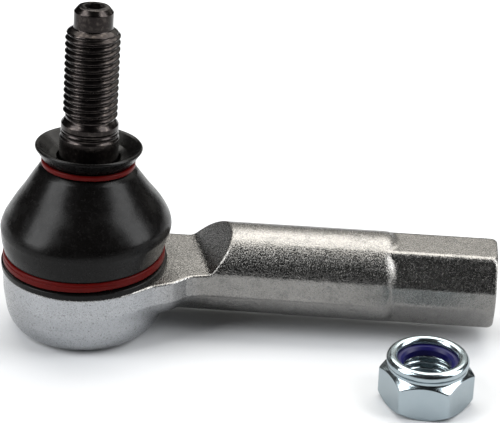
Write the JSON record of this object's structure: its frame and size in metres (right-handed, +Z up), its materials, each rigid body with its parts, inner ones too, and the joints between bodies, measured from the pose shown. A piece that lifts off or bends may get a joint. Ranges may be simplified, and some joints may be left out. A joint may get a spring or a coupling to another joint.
{
  "type": "tie rod end",
  "caption": "Outer tie rod end: forged housing with a threaded hexagon end, ball stud in a plastic shell, dust boot held by clamp rings, and a lock nut for the stud.",
  "frame": {"origin": "middle of the closing plate's outer face under the ball, level with the housing's flat underside", "axes": "+Z up out of the housing, square to its flat underside, +X along the shank to its hexagon end, so the loose nut lies on the -Y side and the shank passes the ball on the +Y side"},
  "size_m": [0.1119, 0.0527, 0.0756],
  "materials": {
    "forged_zinc": "zinc plated, shot blasted forging",
    "turned_steel": "zinc plated pressing",
    "bearing_plastic": "natural acetal",
    "black_steel": "black phosphate, oiled",
    "boot_rubber": "satin moulded rubber",
    "red_band": "satin",
    "bright_zinc": "bright blue zinc plate",
    "blue_nylon": "satin"
  },
  "bodies": {
    "housing_body": {"housing": "forged_zinc", "closing_plate": "turned_steel", "bearing_shell": "bearing_plastic", "boot_skirt": "boot_rubber", "lower_clamp_ring": "red_band"},
    "boot_middle": {"boot_bellows": "boot_rubber"},
    "boot_top": {"boot_collar": "boot_rubber", "upper_clamp_ring": "red_band"},
    "stud": {"ball_stud": "black_steel"},
    "nut": {"lock_nut": "bright_zinc", "nut_insert": "blue_nylon"}
  },
  "joints": [
    {"name": "stud_rock", "type": "hinge", "parent": "housing_body", "child": "boot_middle", "pos_m": [0, 0, 0.014], "axis": [0, 1, 0], "range_deg": [-22.3, 17.7], "deforming": ["boot_bellows"]},
    {"name": "stud_sway", "type": "hinge", "parent": "boot_middle", "child": "boot_top", "pos_m": [0, 0, 0.014], "axis": [1, 0, 0], "range_deg": [-17.26, 22.74], "deforming": ["boot_bellows"]},
    {"name": "stud_spin", "type": "hinge", "parent": "boot_top", "child": "stud", "pos_m": [0, 0, 0.014], "axis": [0.0401, 0.0478, 0.9981], "continuous": true},
    {"name": "nut_lift", "type": "slide", "parent": "housing_body", "child": "nut", "axis": [0, 0, 1], "range_m": [0, 0.03]}
  ]
}
